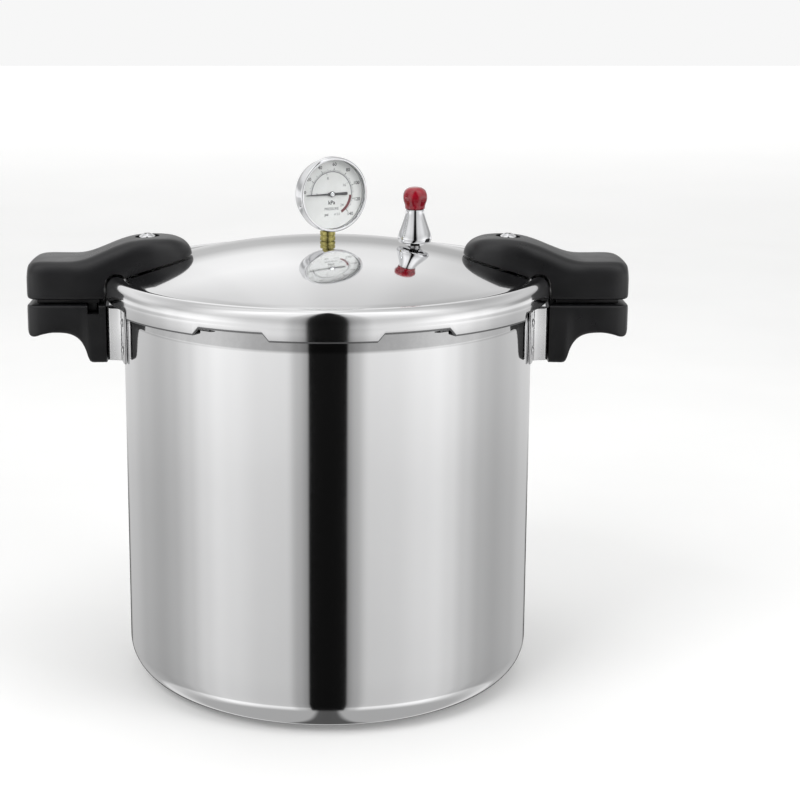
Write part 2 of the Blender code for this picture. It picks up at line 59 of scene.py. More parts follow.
DOME_RHO = (CREASE_R ** 2 + (APEX_Z - CREASE_Z) ** 2) / (2 * (APEX_Z - CREASE_Z))

# grip stations: distance from the axis, half width, underside, top, top edge radius
POT_GRIP = [(173.6, 31.6, 255.5, 301.3, 2.6), (180.0, 31.6, 255.4, 301.3, 2.6),
            (185.6, 31.6, 255.6, 301.3, 2.6), (188.0, 31.6, 258.6, 301.3, 2.6),
            (190.2, 31.6, 265.4, 301.3, 2.6), (193.2, 31.6, 271.4, 301.3, 2.6),
            (198.0, 31.7, 276.0, 301.3, 2.6), (205.0, 31.8, 278.6, 301.3, 2.6),
            (216.0, 32.0, 279.1, 301.3, 2.6), (224.0, 31.8, 277.6, 301.3, 2.6),
            (229.0, 31.2, 276.0, 301.3, 2.6), (232.6, 29.6, 275.8, 301.2, 2.6),
            (235.0, 26.4, 277.0, 300.8, 2.6), (236.2, 22.4, 279.0, 299.6, 2.6)]
LID_GRIP = [(236.2, 21.6, 307.4, 328.8, 8.0), (235.2, 25.6, 306.2, 331.6, 9.0),
            (232.8, 29.0, 305.6, 333.8, 9.5), (229.0, 31.2, 305.5, 335.1, 9.5),
            (222.0, 32.0, 305.5, 335.7, 9.5), (208.0, 32.0, 305.5, 335.6, 9.5),
            (198.0, 32.0, 305.5, 335.9, 10.0), (189.0, 31.8, 305.5, 337.9, 10.5),
            (178.0, 31.2, 305.5, 342.2, 11.0), (167.0, 30.2, 305.5, 346.8, 12.0),
            (156.0, 29.0, 305.5, 350.2, 12.0), (145.0, 27.6, 305.5, 351.7, 12.0),
            (134.0, 25.8, 305.5, 352.0, 12.0), (124.0, 22.6, 305.5, 351.3, 12.0),
            (116.5, 18.4, 305.5, 349.0, 11.0), (111.6, 13.2, 305.5, 345.6, 9.0),
            (108.9, 7.8, 305.5, 341.8, 6.0), (108.0, 3.4, 305.5, 338.8, 3.0)]
STOP_R, STOP_ANGLE, STOP_Z, SLOT_Z = (182.4, 189.6), (183.6, 186.8), 295.3, 294.4


# =============================================================================
# Materials
# =============================================================================
class Tree:
    """Short calls for building a node material round its Principled shader."""

    def __init__(self, name):
        self.mat = bpy.data.materials.new(name)
        self.mat.use_nodes = True
        self.nodes, self.links = self.mat.node_tree.nodes, self.mat.node_tree.links
        self.bsdf = self.nodes["Principled BSDF"]

    def add(self, kind, **values):
        node = self.nodes.new("ShaderNode" + kind)
        for key, value in values.items():
            if hasattr(node, key):
                setattr(node, key, value)
            else:
                self.put(node.inputs[key.replace("_", " ")], value)
        return node

    def put(self, socket, value):
        if isinstance(value, bpy.types.NodeSocket):
            self.links.new(value, socket)
        else:
            socket.default_value = value

    def set(self, **values):
        for key, value in values.items():
            self.put(self.bsdf.inputs[key.replace("_", " ")], value)

    def math(self, operation, a, b=0.0, c=0.0):
        node = self.nodes.new("ShaderNodeMath")
        node.operation = operation
        for socket, value in zip(node.inputs, (a, b, c)):
            self.put(socket, value)
        return node.outputs[0]

    def spot(self):
        return self.add("TexCoord").outputs["Object"]

    def stretch(self, scale, rotation=(0, 0, 0)):
        node = self.add("Mapping", Vector=self.spot())
        node.inputs["Scale"].default_value = scale
        node.inputs["Rotation"].default_value = rotation
        return node.outputs[0]

    def noise(self, scale, detail=3.0, rough=0.5, vector=None, distortion=0.0):
        node = self.add("TexNoise", Scale=scale, Detail=detail, Roughness=rough, Distortion=distortion)
        self.put(node.inputs["Vector"], vector if vector is not None else self.spot())
        return node.outputs[0]

    def scaled(self, value, low, high, start=0.3, end=0.7):
        node = self.add("MapRange", From_Min=start, From_Max=end, To_Min=low, To_Max=high)
        self.put(node.inputs["Value"], value)
        return node.outputs[0]

    def mix(self, factor, a, b):
        node = self.add("Mix", data_type="RGBA")
        self.put(node.inputs[0], factor)
        for socket, value in ((node.inputs[6], a), (node.inputs[7], b)):
            self.put(socket, value if isinstance(value, bpy.types.NodeSocket) else (*value, 1.0))
        return node.outputs[2]

    def bump(self, height, distance, strength=1.0, normal=None):
        node = self.add("Bump", Strength=strength, Distance=distance, Height=height)
        if normal is not None:
            self.put(node.inputs["Normal"], normal)
        return node.outputs[0]

    def radius(self):
        parts = self.add("SeparateXYZ", Vector=self.spot())
        square = self.math("MULTIPLY", parts.outputs[0], parts.outputs[0])
        return self.math("SQRT", self.math("MULTIPLY_ADD", parts.outputs[1], parts.outputs[1], square))


def spun_metal(name, colour, rough, spread, lines=0.0, rings=0.0, skirt=0.0, neck=1.0):
    """Polished aluminium with faint lines from spinning, hazy patches and hairline scratches.

    skirt is the roughness of the lid's skirt, and neck the share of colour kept in the band under the rim,
    which is darkened as painted shade.
    """
    t = Tree(name)
    patches = t.noise(9.0, 4.0, 0.55)
    fine = t.noise(260.0, 2.0, 0.5)
    scratches = t.noise(1.0, 3.0, 0.6, t.stretch((900, 160, 160), (0.3, 0.9, 0.5)), 0.4)
    hair = t.scaled(scratches, 0.0, 1.0, 0.66, 0.74)
    uneven = t.scaled(patches, rough, rough + spread)
    uneven = t.math("MULTIPLY_ADD", t.scaled(fine, -1.0, 1.0), spread * 0.15, uneven)
    uneven = t.math("MULTIPLY_ADD", hair, 0.03, uneven)
    if skirt:
        uneven = t.math("ADD", uneven, t.scaled(t.radius(), 0.0, skirt - rough, 0.172, 0.175))
    t.set(Roughness=uneven, Metallic=1.0)
    darker = tuple(c * 0.965 for c in colour)
    tone = t.mix(t.scaled(patches, 0.0, 1.0), darker, colour)
    # Painted shade: the band from about 293 mm up to the rim, under the lid's skirt, gets a darker colour.
    if neck < 1.0:
        level = t.add("SeparateXYZ", Vector=t.spot()).outputs[2]
        painted_rim_shade, painted_rim_shade_light = (tuple(c * share for c in colour) for share in (neck, neck + 0.03))
        painted_rim_shade = t.mix(t.scaled(fine, 0.0, 1.0), painted_rim_shade, painted_rim_shade_light)
        tone = t.mix(t.scaled(level, 0.0, 1.0, 0.2905, 0.2930), tone, painted_rim_shade)
    t.set(Base_Color=tone)
    normal = None
    if lines:
        turning = t.noise(1.0, 2.0, 0.6, t.stretch((4, 4, 1500)))
        normal = t.bump(turning, 0.00002, lines)
    if rings:
        ring = t.add("TexNoise", noise_dimensions="1D", W=t.radius(), Scale=1300.0, Detail=2.0).outputs[0]
        normal = t.bump(ring, 0.00002, rings, normal)
    if normal is not None:
        t.set(Normal=normal)
    return t.mat


def cast_metal(name, colour, rough):
    """Tumbled casting: fine pits and soft wear."""
    t = Tree(name)
    wear = t.noise(35.0, 5.0, 0.6)
    grain = t.noise(900.0, 3.0, 0.6)
    t.set(Metallic=1.0, Roughness=t.scaled(wear, rough - 0.06, rough + 0.1))
    t.set(Base_Color=t.mix(t.scaled(wear, 0.0, 1.0), tuple(c * 0.88 for c in colour), colour))
    t.set(Normal=t.bump(grain, 0.00004, 0.3))
    return t.mat


def plated(name, colour, rough):
    """Bright plating with a trace of orange peel and finger haze."""
    t = Tree(name)
    haze = t.noise(60.0, 4.0, 0.6)
    peel = t.noise(420.0, 1.0, 0.5)
    t.set(Metallic=1.0, Roughness=t.scaled(haze, rough, rough + 0.05))
    t.set(Base_Color=t.mix(t.scaled(haze, 0.0, 1.0), tuple(c * 0.95 for c in colour), colour))
    t.set(Normal=t.bump(peel, 0.00001, 0.25))
    return t.mat


def brass(name):
    """Dull machined brass with brown tarnish in patches."""
    t = Tree(name)
    tarnish = t.noise(160.0, 5.0, 0.62)
    turning = t.noise(1.0, 2.0, 0.5, t.stretch((60, 60, 2200)))
    colour = t.mix(t.scaled(tarnish, 0.0, 1.0, 0.42, 0.68), (0.52, 0.47, 0.17), (0.32, 0.27, 0.10))
    t.set(Base_Color=colour, Metallic=1.0, Roughness=t.scaled(tarnish, 0.2, 0.38))
    t.set(Normal=t.bump(turning, 0.00003, 0.4))
    return t.mat


def phenolic(name):
    """Moulded black phenolic: satin skin, fine filler grain, faint flow marks and rubbed patches."""
    t = Tree(name)
    flow = t.noise(22.0, 4.0, 0.6, t.stretch((0.5, 1.0, 1.6)), 0.6)
    filler = t.noise(1400.0, 2.0, 0.6)
    rubbed = t.noise(60.0, 5.0, 0.65)
    base = t.mix(t.scaled(flow, 0.0, 1.0), (0.0055, 0.0055, 0.006), (0.0095, 0.0095, 0.0105))
    specks = t.scaled(filler, 0.0, 0.3, 0.62, 0.8)
    t.set(Base_Color=t.mix(specks, base, (0.022, 0.022, 0.023)))
    t.set(Roughness=t.scaled(rubbed, 0.26, 0.36))
    t.bsdf.inputs["Specular IOR Level"].default_value = 0.5
    soft = t.bump(rubbed, 0.00006, 0.35)
    t.set(Normal=t.bump(filler, 0.00004, 0.35, soft))
    return t.mat


def knob_red(name):
    """Glossy dark red moulding with a clear skin and slight cloudiness below."""
    t = Tree(name)
    cloud = t.noise(170.0, 4.0, 0.55)
    t.set(Base_Color=t.mix(t.scaled(cloud, 0.0, 1.0), (0.20, 0.003, 0.010), (0.31, 0.005, 0.018)))
    t.set(Roughness=t.scaled(cloud, 0.12, 0.2), Normal=t.bump(cloud, 0.00004, 0.15))
    t.bsdf.inputs["Coat Weight"].default_value = 0.8
    t.bsdf.inputs["Coat Roughness"].default_value = 0.05
    return t.mat


def enamel(name, colour, shade, rough=0.4):
    """Sprayed paint: fine orange peel and a trace of uneven tone."""
    t = Tree(name)
    tone = t.noise(120.0, 4.0, 0.6)
    peel = t.noise(1600.0, 1.0, 0.5)
    t.set(Base_Color=t.mix(t.scaled(tone, 0.0, 1.0), colour, shade))
    t.set(Roughness=t.scaled(tone, rough, rough + 0.1), Normal=t.bump(peel, 0.00001, 0.3))
    return t.mat


def rubbery(name, dark, light, rough):
    """Moulded rubber: dusty bloom over a fine matt grain."""
    t = Tree(name)
    bloom = t.noise(90.0, 5.0, 0.65)
    grain = t.noise(1500.0, 2.0, 0.5)
    t.set(Base_Color=t.mix(t.scaled(bloom, 0.0, 1.0), dark, light))
    t.set(Roughness=t.scaled(bloom, rough, rough + 0.15), Normal=t.bump(grain, 0.00005, 0.4))
    return t.mat


def clear_glass(name):
    t = Tree(name)
    smear = t.noise(70.0, 4.0, 0.6)
    t.set(Base_Color=t.mix(t.scaled(smear, 0.0, 1.0), (0.97, 0.985, 0.985), (0.99, 1.0, 1.0)))
    t.set(Roughness=t.scaled(smear, 0.0, 0.03, 0.45, 0.8))
    t.bsdf.inputs["Transmission Weight"].default_value = 1.0
    t.bsdf.inputs["IOR"].default_value = 1.45
    return t.mat


# The wall's band under the rim is painted with shade at half its colour (neck=0.50).
ALUMINIUM_WALL = spun_metal("polished_aluminium_wall", (0.90, 0.90, 0.905), 0.045, 0.03,
                            lines=0.04, neck=0.50)
ALUMINIUM_LID = spun_metal("polished_aluminium_lid", (0.86, 0.86, 0.865), 0.05, 0.02,
                           rings=0.05, skirt=0.08)
# Dark copy of the aluminium for the skirt's lower lip and underside: painted shade under the lip.
PAINTED_SHADE_LIP = spun_metal("skirt_lip_painted_shade", (0.26, 0.26, 0.265), 0.28, 0.1, rings=0.4)
ALUMINIUM_RACK = spun_metal("satin_aluminium_rack", (0.82, 0.82, 0.83), 0.26, 0.1, rings=0.5)
CAST = cast_metal("cast_aluminium", (0.90, 0.90, 0.905), 0.24)
STEEL = cast_metal("plain_steel", (0.56, 0.56, 0.57), 0.3)
CHROME = plated("chrome_plate", (0.88, 0.885, 0.9), 0.03)
BRASS = brass("dull_brass")
PHENOLIC = phenolic("black_phenolic_moulding")
RED = knob_red("red_moulding")
WHITE = enamel("dial_enamel", (0.86, 0.86, 0.85), (0.80, 0.80, 0.785), 0.42)
INK = enamel("printing_ink", (0.02, 0.02, 0.022), (0.035, 0.035, 0.038), 0.5)
GREY_INK = enamel("scale_ink", (0.16, 0.16, 0.17), (0.22, 0.22, 0.23), 0.5)
RED_INK = enamel("red_zone_ink", (0.16, 0.004, 0.012), (0.12, 0.003, 0.01), 0.45)
RUBBER = rubbery("black_rubber", (0.018, 0.018, 0.018), (0.04, 0.04, 0.039), 0.6)
SILICONE = rubbery("grey_silicone", (0.42, 0.41, 0.38), (0.52, 0.51, 0.48), 0.45)
GLASS = clear_glass("lens_glass")


# =============================================================================
# Mesh helpers
# =============================================================================
def finish_mesh(name, bm, mat, matrix=None, sharp=35.0):
    bmesh.ops.recalc_face_normals(bm, faces=bm.faces)
    mesh = bpy.data.meshes.new(name)
    bm.to_mesh(mesh)
    bm.free()
    ob = bpy.data.objects.new(name, mesh)
    bpy.context.scene.collection.objects.link(ob)
    if matrix is not None:
        ob.matrix_world = matrix
    if mat is not None:
        mesh.materials.append(mat)
    shade(ob, sharp)
    return ob


def shade(ob, sharp=35.0):
    ob.data.shade_smooth()
    ob.data.set_sharp_from_angle(angle=math.radians(sharp))


def revolve(name, profile, mat, steps=128, matrix=None, closed=False, angles=None, sharp=35.0, other=None):
    """Turn (radius, height) points about Z. The profile may be a function of the angle, and
    other gives a second material with the run of profile points that takes it."""
    angles = angles or [360.0 * i / steps for i in range(steps)]
    outline = profile if callable(profile) else (lambda angle: profile)
    bm = bmesh.new()
    columns = []
    for angle in angles:
        c, s = math.cos(math.radians(angle)), math.sin(math.radians(angle))
        columns.append([bm.verts.new((r * c * MM, r * s * MM, z * MM)) for r, z in outline(angle)])
    count = len(columns[0])
    for i, column in enumerate(columns):
        after = columns[(i + 1) % len(columns)]
        for j in range(count if closed else count - 1):
            k = (j + 1) % count
            face = bm.faces.new((column[j], column[k], after[k], after[j]))
            face.material_index = 1 if other and other[1] <= j < other[2] else 0
    bmesh.ops.remove_doubles(bm, verts=bm.verts, dist=0.0000005)
    ob = finish_mesh(name, bm, mat, matrix, sharp)
    if other:
        ob.data.materials.append(other[0])
    return ob


def extrude(name, outline, low, high, mat, matrix=None, bevel=0.0, steps=3):
    """A flat outline in XY made solid between two heights, with rounded edges."""
    bm = bmesh.new()
    face = bm.faces.new([bm.verts.new((x * MM, y * MM, low * MM)) for x, y in outline])
    top = bmesh.ops.extrude_face_region(bm, geom=[face])["geom"]
    moved = [v for v in top if isinstance(v, bmesh.types.BMVert)]
    bmesh.ops.translate(bm, verts=moved, vec=(0, 0, (high - low) * MM))
    ob = finish_mesh(name, bm, mat, matrix)
    if bevel:
        mod = ob.modifiers.new("edges", "BEVEL")
        mod.width, mod.segments = bevel * MM, steps
        mod.limit_method, mod.angle_limit = "ANGLE", math.radians(40)
        bake(ob)
    return ob


def bake(ob, sharp=35.0):
    """Put the modifiers' result into the mesh."""
    graph = bpy.context.evaluated_depsgraph_get()
    mesh = bpy.data.meshes.new_from_object(ob.evaluated_get(graph))
    ob.modifiers.clear()
    ob.data = mesh
    shade(ob, sharp)


def carve(ob, *cutters, operation="DIFFERENCE"):
    """Cut or join the cutters, then remove them."""
    for cutter in cutters:
        mod = ob.modifiers.new("carve", "BOOLEAN")
        mod.operation, mod.solver, mod.object = operation, "EXACT", cutter
    bake(ob)
    for cutter in cutters:
        bpy.data.objects.remove(cutter, do_unlink=True)


def rounded(points, steps=4):
    """Points (x, y, radius) as an open line whose inner corners are rounded."""
    out = [points[0][:2]]
    for before, (x, y, radius), after in zip(points, points[1:], points[2:]):
        here = Vector((x, y))
        a, b = Vector(before[:2]) - here, Vector(after[:2]) - here
        if radius <= 0:
            out.append((x, y))
            continue
        reach = radius / math.tan(a.angle(b) / 2)
        start = here + a.normalized() * min(reach, a.length * 0.49)
        end = here + b.normalized() * min(reach, b.length * 0.49)
        for k in range(steps + 1):
            f = k / steps
            p = start * (1 - f) ** 2 + here * 2 * f * (1 - f) + end * f * f
            out.append((p.x, p.y))
    return out + [points[-1][:2]]


def smooth(rows, per=4):
    """Catmull-Rom curve through rows of numbers."""
    out = []
    for i in range(len(rows) - 1):
        p0, p1, p2, p3 = rows[max(i - 1, 0)], rows[i], rows[i + 1], rows[min(i + 2, len(rows) - 1)]
        for k in range(per):
            t = k / per
            out.append(tuple(0.5 * (2 * b + (c - a) * t + (2 * a - 5 * b + 4 * c - d) * t * t
                                    + (3 * b - a - 3 * c + d) * t ** 3)
                             for a, b, c, d in zip(p0, p1, p2, p3)))
    return out + [tuple(rows[-1])]


def arc(cx, cy, radius, start, end, steps):
    return [(cx + radius * math.cos(math.radians(start + (end - start) * i / steps)),
             cy + radius * math.sin(math.radians(start + (end - start) * i / steps)))
            for i in range(steps + 1)]


def sector(r0, r1, a0, a1, steps=8):
    return arc(0, 0, r1, a0, a1, steps) + arc(0, 0, r0, a1, a0, steps)


def frame_at(x, y, z, direction=(0, 0, 1)):
    turn = Vector(direction).to_track_quat("Z", "Y").to_matrix().to_4x4()
    return Matrix.Translation((x * MM, y * MM, z * MM)) @ turn


def section(half, low, high, top_r, crown, edge=3.0):
    """Rounded rectangle in (y, z) with a crowned top; always the same number of points."""
    tall = high - low
    rt = min(top_r, half * 0.9, tall * 0.6)
    rb = min(edge, half * 0.5, tall * 0.3)
    points = []
    for cy, cz, r, start in ((half - rt, high - rt, rt, 0), (-(half - rt), high - rt, rt, 90),
                             (-(half - rb), low + rb, rb, 180), (half - rb, low + rb, rb, 270)):
        points += arc(cy, cz, r, start, start + 90, 7)
        if start == 0:
            points += [(cy * f, high) for f in (0.6, 0.3, 0.0, -0.3, -0.6)]
    return [(y, z + crown * (1 - (y / half) ** 2) * (z - low) / tall) for y, z in points]


def loft_grip(name, stations, side, crown, per=4):
    """Skin the sections of a grip along X."""
    bm = bmesh.new()
    rings = []
    for x, half, low, high, top_r in smooth(stations, per):
        ring = section(half, low, high - crown, top_r, crown)
        rings.append([bm.verts.new((side * x * MM, y * MM, z * MM)) for y, z in ring])
    for a, b in zip(rings, rings[1:]):
        for i in range(len(a)):
            j = (i + 1) % len(a)
            bm.faces.new((a[i], a[j], b[j], b[i]))
    bm.faces.new(rings[0])
    bm.faces.new(rings[-1])
    return finish_mesh(name, bm, PHENOLIC, sharp=40.0)


def rod(radius, low, high, matrix, steps=48):
    profile = [(0, high), (radius, high), (radius, low), (0, low)]
    return revolve("cutter", profile, None, steps, matrix)


def cross_cutter(matrix, span, width, low, high):
    """Cross-shaped screw recess."""
    s, w = span / 2, width / 2
    outline = [(s, -w), (s, w), (w, w), (w, s), (-w, s), (-w, w), (-s, w), (-s, -w), (-w, -w),
               (-w, -s), (w, -s), (w, -w)]
    return extrude("cutter", outline, low, high, None, matrix)


def put(ob, body, slot, *nodes):
    """Hang a piece on the empty of the body it rides on and hide the CAD nodes it stands for. slot, its
    finish, is not used.
    """
    if nodes:
        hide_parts(*nodes)
    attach(ob, body)
    return ob


# =============================================================================
# Pot
# =============================================================================
def from_centre(angle, first):
    """Degrees from an angle to the nearest of the eight features that start at first."""
    return abs((angle - first + TAB_PITCH / 2) % TAB_PITCH - TAB_PITCH / 2)


def pot():
    inner, neck = POT_R - WALL, POT_R - NECK_IN
    corner = CORNER_R - FLOOR_T

    def outline(angle):
        off = from_centre(angle, -90 + PHASE)
        tab = TAB_R if off <= TAB_HALF else NECK_R
        inside = [(r, FLOOR_T) for r in (0, 40, 80, 120)]
        inside += arc(inner - corner, CORNER_R, corner, -90, 0, 10)
        inside += [(inner, z) for z in (80, 150, 220, 280)]
        rim = [(inner, RIM_Z - 1.2), (inner + 0.35, RIM_Z - 0.35), (inner + 1.2, RIM_Z),
               (tab - 1.0, RIM_Z), (tab - 0.3, RIM_Z - 0.3), (tab, RIM_Z - 1.0),
               (tab, FLANGE_Z + 0.8), (tab - 0.5, FLANGE_Z), (neck + 1.2, FLANGE_Z),
               (neck + 0.3, FLANGE_Z - 0.4), (neck, FLANGE_Z - 1.4), (neck + 0.05, FLANGE_Z - 2.0),
               (POT_R - 0.13, NECK_Z + 1.5), (POT_R - 0.08, NECK_Z + 0.9), (POT_R - 0.02, NECK_Z + 0.2),
               (POT_R, NECK_Z - 0.8), (POT_R, NECK_Z - 1.6)]
        outside = [(POT_R, z) for z in (280, 240, 200, 160, 120, 80, 45)]
        outside += arc(POT_R - CORNER_R, CORNER_R, CORNER_R, 0, -90, 20)
        outside += [(r, 0.0) for r in (120, 80, 40, 0)]
        return inside + rim + outside

    angles = []
    for k in range(8):
        centre = -90 + PHASE + TAB_PITCH * k
        half = [TAB_HALF - o for o in (0.0, 0.3, 1.0, 2.2, 4.2, 6.2, TAB_HALF)]
        gap = [TAB_HALF + o for o in (0.06, 0.35, 1.0, 2.2)] + [12.3, 14.3, 16.3, 18.3, 20.4]
        offsets = half[::-1] + gap + [22.5] + [TAB_PITCH - o for o in gap[::-1] + half[:-1]]
        angles += [centre + o for o in offsets]
    shell = revolve("pot_shell", outline, ALUMINIUM_WALL, angles=angles, sharp=50.0)
    put(shell, "pot", "polished_aluminium", "pot_body")


def brackets():
    """Cast blocks between pot and grips, their rivets and the grip screws."""
    inner, wing, face, half = POT_R + 0.3, POT_R + 2.5, 173.2, 29.0
    root = math.degrees(math.asin((half + 2) / wing))
    for side, tag in ((1, "R"), (-1, "L")):
        corner = rounded([(face, 0, 0), (face, half, 3.2), (165.6, half + 0.6, 0)], 6)
        upper = corner + arc(0, 0, wing, root, 16, 8) + arc(0, 0, inner, 16, 0, 16)
        lower = [(x, -y) for x, y in reversed(upper) if y > 0.01]
        outline = [(side * x, y) for x, y in upper[1:] + lower]
        block = extrude("bracket_" + tag, outline, 257.0, 299.0, CAST, bevel=0.9)
        put(block, "pot", "cast_aluminium", "pot_bracket_" + tag)
        number = 0
        for z in (267.0, 289.0):
            for angle in (-13.4, 13.4):
                number += 1
                a = math.radians(angle if side > 0 else 180 + angle)
                at = frame_at(0, 0, z, (math.cos(a), math.sin(a), 0))
                top, low = wing + 0.3, POT_R - WALL - 0.3
                head = [(0, top + 1.15), (1.2, top + 1.1), (2.4, top + 0.85), (3.3, top + 0.4),
                        (3.6, top), (2.0, top), (2.0, low), (3.6, low), (3.3, low - 0.7),
                        (2.2, low - 1.3), (0, low - 1.5)]
                node = "bracket_rivet_%s%d" % (tag, number)
                rivet = revolve("rivet_%s%d" % (tag, number), head, CAST, 32, at, sharp=50)
                put(rivet, "pot", "cast_aluminium", node)
        for number, y in enumerate((-14.0, 14.0), 1):
            at = frame_at(0, y, 263.0, (side, 0, 0))
            profile = rounded([(0, 187.3, 0), (3.4, 187.1, 1.0), (4.6, 185.4, 0.8), (4.6, 183.3, 0.2),
                               (2.5, 183.3, 0), (2.5, 165.4, 0.4), (0, 165.4, 0)])
            screw = revolve("grip_screw_%s%d" % (tag, number), profile, STEEL, 40, at)
            carve(screw, cross_cutter(at, 5.0, 1.1, 185.6, 189.0))
            put(screw, "pot", "steel", "pot_handle_screw_%s%d" % (tag, number))


def pot_grips():
    for side, tag in ((1, "R"), (-1, "L")):
        grip = loft_grip("pot_grip_" + tag, POT_GRIP, side, 0.0)
        cutters = []
        for y in (-14.0, 14.0):
            at = frame_at(0, y, 263.0, (side, 0, 0))
            cutters += [rod(5.2, 183.0, 206.0, at), rod(2.9, 165.0, 190.0, at)]
        if side < 0:
            slot = sector(STOP_R[0] - 0.8, STOP_R[1] + 0.8, STOP_ANGLE[0] - 0.4, 194.0)
            cutters.append(extrude("cutter", slot, SLOT_Z, 310, None))
        carve(grip, *cutters)
        put(grip, "pot", "black_phenolic", "pot_handle_" + tag)


# =============================================================================
# Lid
# =============================================================================
def dome_z(r):
    return APEX_Z - DOME_RHO + math.sqrt(DOME_RHO ** 2 - r ** 2)


def lid_top(gap=0.0, rings=26):
    """Upper outline of the lid from its axis to the top of the skirt, moved out by a gap."""
    dome = [(157.4 * i / rings, dome_z(157.4 * i / rings) + gap) for i in range(rings + 1)]
    crease = [(158.6, 322.05), (159.6, 321.95), (160.6, 322.3)]
    shoulder = smooth([(161.4, 322.75), (164.2, 324.1), (167.6, 324.7), (171.2, 323.8),
                       (174.2, 320.8), (175.7, 316.6), (SKIRT_TOP_R, SKIRT_TOP_Z)], 5)
    pushed = [(r + gap * max(0.0, (r - 165.0) / (SKIRT_R - 165.0)), z + gap)
              for r, z in crease + shoulder]
    return dome + pushed


def lid():
    hb = math.degrees(math.asin(NOTCH_HALF_LOW / SKIRT_R))
    ht = math.degrees(math.asin(NOTCH_HALF_TOP / SKIRT_R))
    inner = SKIRT_R - SKIRT_T
    first = -90 + PHASE + TAB_PITCH / 2
    top = lid_top()
    under = smooth([(inner, 312.0), (inner - 1.2, 317.0), (170.4, 320.0), (166.8, 320.9),
                    (163.4, 320.2), (160.2, 318.9)], 3)
    dome = [(157.0 * i / 14, dome_z(157.0 * i / 14) - 3.0) for i in range(14, -1, -1)]

    # The six faces round the skirt's lower lip take the dark aluminium copy, which paints shade under the
    # lip.
    shaded_lip_faces = 6

    def outline(angle):
        off = from_centre(angle, first)
        low = SKIRT_Z + (NOTCH_Z - SKIRT_Z) * min(1.0, max(0.0, (hb - off) / (hb - ht)))
        lug = LUG_R if off >= hb - 0.001 else inner
        thick = LUG_TOP - SKIRT_Z
        wide = SKIRT_TOP_R + (SKIRT_TOP_Z - 1.5 - low) * SKIRT_FLARE
        edge = [(wide, low + 1.5), (wide - 0.12, low + 0.7), (wide - 0.5, low + 0.18),
                (wide - 1.1, low), (lug + 0.9 if lug < inner else inner + 0.6, low),
                (lug + 0.2 if lug < inner else inner + 0.1, low + 0.25), (lug, low + 0.9),
                (lug, low + thick - 0.6), (lug + 0.4 if lug < inner else inner, low + thick),
                (inner, low + thick + 0.01)]
        return top + edge + under + dome

    angles = []
    for k in range(8):
        centre = first + TAB_PITCH * k
        near = [0.0, 1.6, 3.2, 4.8, 6.2, 7.3, ht - 0.3, ht, (ht + hb) / 2]
        near += [hb - 0.3, hb - 0.05, hb, hb + 0.25]
        far = [10.8, 11.9, 13.4, 15.1, 16.9, 18.7, 20.6, 22.5]
        angles += [centre - o for o in reversed(near[1:] + far[:-1])] + [centre + o for o in near + far]
    shell = revolve("lid_shell", outline, ALUMINIUM_LID, angles=angles, sharp=45.0,
                    other=(PAINTED_SHADE_LIP, len(top), len(top) + shaded_lip_faces))
    x, y = -122.0, 66.0
    plug_at = frame_at(x, y, dome_z(math.hypot(x, y)), (x, y, DOME_RHO))
    carve(shell, rod(5.1, 330, 350, Matrix()), rod(5.2, 325, 350, frame_at(REG_X, 0, 0)),
          rod(4.1, -8, 6, plug_at))
    put(shell, "lid", "polished_aluminium", "lid")

    plug = rounded([(0, 3.6, 0), (4.6, 3.4, 1.4), (6.6, 1.6, 1.2), (6.6, 0.5, 0.3), (3.6, 0.5, 0),
                    (3.6, -3.5, 0), (5.2, -3.6, 0.6), (4.4, -5.8, 0.8), (0, -6.2, 0)])
    put(revolve("relief_plug", plug, RUBBER, 40, plug_at), "lid", "rubber", "overpressure_plug")
    ring = rounded([(162.2, 319.6, 0), (170.4, 318.9, 1.2), (171.7, 316.5, 0.6), (171.7, 312.0, 0),
                    (171.1, 311.4, 0), (171.7, 310.8, 0), (171.7, 309.3, 0.5), (161.0, 309.3, 0.5),
                    (161.0, 318.4, 1.0), (162.2, 319.6, 0)])[:-1]
    put(revolve("sealing_ring", ring, SILICONE, 160, closed=True), "seal", "silicone", "gasket")


def lid_envelope(gap):
    outline = lid_top(gap, 16) + [(SKIRT_R + gap, 290.0), (0.0, 290.0)]
    return revolve("cutter", outline, None, 256, Matrix.Rotation(math.radians(0.31), 4, "Z"))


def lid_grips():
    for side, tag in ((1, "R"), (-1, "L")):
        at = frame_at(side * LID_SCREW_X, 0, 0)
        grip = loft_grip("lid_grip_" + tag, LID_GRIP, side, 1.5)
        tongue = [(side * x, y) for x, y in ((179, -25), (228, -25), (228, 25), (179, 25))]
        bore = [(0, 365), (9.8, 365), (9.8, 349.2), (3.3, 349.2), (3.3, 334.4), (9.4, 334.4),
                (9.4, 300), (0, 300)]
        carve(grip, lid_envelope(1.2), revolve("cutter", bore, None, 64, at))
        carve(grip, extrude("tongue", tongue, 302.1, 312, None, bevel=0.4), operation="UNION")
        if side < 0:
            tab = extrude("stop_tab", sector(*STOP_R, *STOP_ANGLE), STOP_Z, 313.7, None, bevel=0.5)
            carve(grip, tab, operation="UNION")
        put(grip, "lid", "black_phenolic", "lid_handle_" + tag)

        head = rounded([(0, 353.8, 0), (3.4, 353.6, 2.0), (6.4, 351.8, 1.5), (6.6, 349.5, 0.3),
                        (2.8, 349.5, 0), (2.8, 328.8, 0.4), (0, 328.8, 0)], 6)
        screw = revolve("lid_screw_" + tag, head, CHROME, 64, at)
        carve(screw, cross_cutter(at @ Matrix.Rotation(0.5 * side, 4, "Z"), 6.4, 1.4, 352.0, 358.0))
        put(screw, "lid", "chrome", "lid_handle_screw_" + tag)


# =============================================================================
# Vent and regulator
# =============================================================================
def hexagon(across):
    return arc(0, 0, across / math.sqrt(3), 0, 300, 5)


